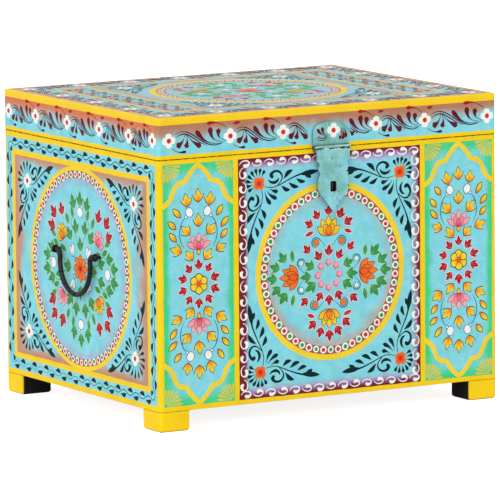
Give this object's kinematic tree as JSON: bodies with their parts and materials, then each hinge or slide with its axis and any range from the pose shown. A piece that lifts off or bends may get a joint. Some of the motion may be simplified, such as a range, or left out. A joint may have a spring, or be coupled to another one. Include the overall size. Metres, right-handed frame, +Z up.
{
  "type": "storage box",
  "caption": "Painted wooden storage box on block feet, with a hinged lid, a hasp that drops over a staple, and drop handles on its sides.",
  "frame": {"origin": "on the floor, under the middle of the box", "axes": "+X along the front to the right, the front faces -Y, +Z up"},
  "size_m": [0.5266, 0.4186, 0.396],
  "materials": {
    "painted_board": "hand-painted, satin lacquer",
    "painted_foot": "yellow paint, satin lacquer",
    "bare_wood": "bare, planed",
    "steel": "plain steel",
    "hinge_steel": "dull, lightly rusted",
    "painted_hasp": "brushed turquoise paint, worn at the edges",
    "black_iron": "forged, blackened"
  },
  "bodies": {
    "box": {"front_board": "painted_board", "back_board": "painted_board", "left_board": "painted_board", "right_board": "painted_board", "bottom_board": "bare_wood", "front_left_foot": "painted_foot", "front_right_foot": "painted_foot", "back_left_foot": "painted_foot", "back_right_foot": "painted_foot", "body_corner_brads": "steel", "bottom_brads": "steel", "foot_screws": "steel", "left_hinge_body_leaf": "hinge_steel", "right_hinge_body_leaf": "hinge_steel", "left_hinge_pin": "steel", "right_hinge_pin": "steel", "hinge_body_screws": "steel", "hasp_staple": "black_iron", "left_handle_eyes": "black_iron", "right_handle_eyes": "black_iron"},
    "lid": {"lid_top_board": "painted_board", "lid_front_rail": "painted_board", "lid_back_rail": "painted_board", "lid_left_rail": "painted_board", "lid_right_rail": "painted_board", "lid_corner_brads": "steel", "lid_top_brads": "steel", "left_hinge_lid_leaf": "hinge_steel", "right_hinge_lid_leaf": "hinge_steel", "hinge_lid_screws": "steel", "hasp_plate": "painted_hasp", "hasp_pin": "steel", "hasp_nails": "painted_hasp"},
    "hasp": {"hasp_strap": "painted_hasp"},
    "left_handle": {"left_handle": "black_iron"},
    "right_handle": {"right_handle": "black_iron"}
  },
  "joints": [
    {"name": "lid_hinge", "type": "hinge", "parent": "box", "child": "lid", "pos_m": [0, 0.204, 0.3433], "axis": [-1, 0, 0], "range_deg": [0, 180]},
    {"name": "hasp_swing", "type": "hinge", "parent": "lid", "child": "hasp", "pos_m": [0, -0.2048, 0.3433], "axis": [-1, 0, 0], "range_deg": [-6, 135]},
    {"name": "left_handle_swing", "type": "hinge", "parent": "box", "child": "left_handle", "pos_m": [-0.258, 0, 0.205], "axis": [0, 1, 0], "range_deg": [0, 180]},
    {"name": "right_handle_swing", "type": "hinge", "parent": "box", "child": "right_handle", "pos_m": [0.258, 0, 0.205], "axis": [0, -1, 0], "range_deg": [0, 180]}
  ]
}
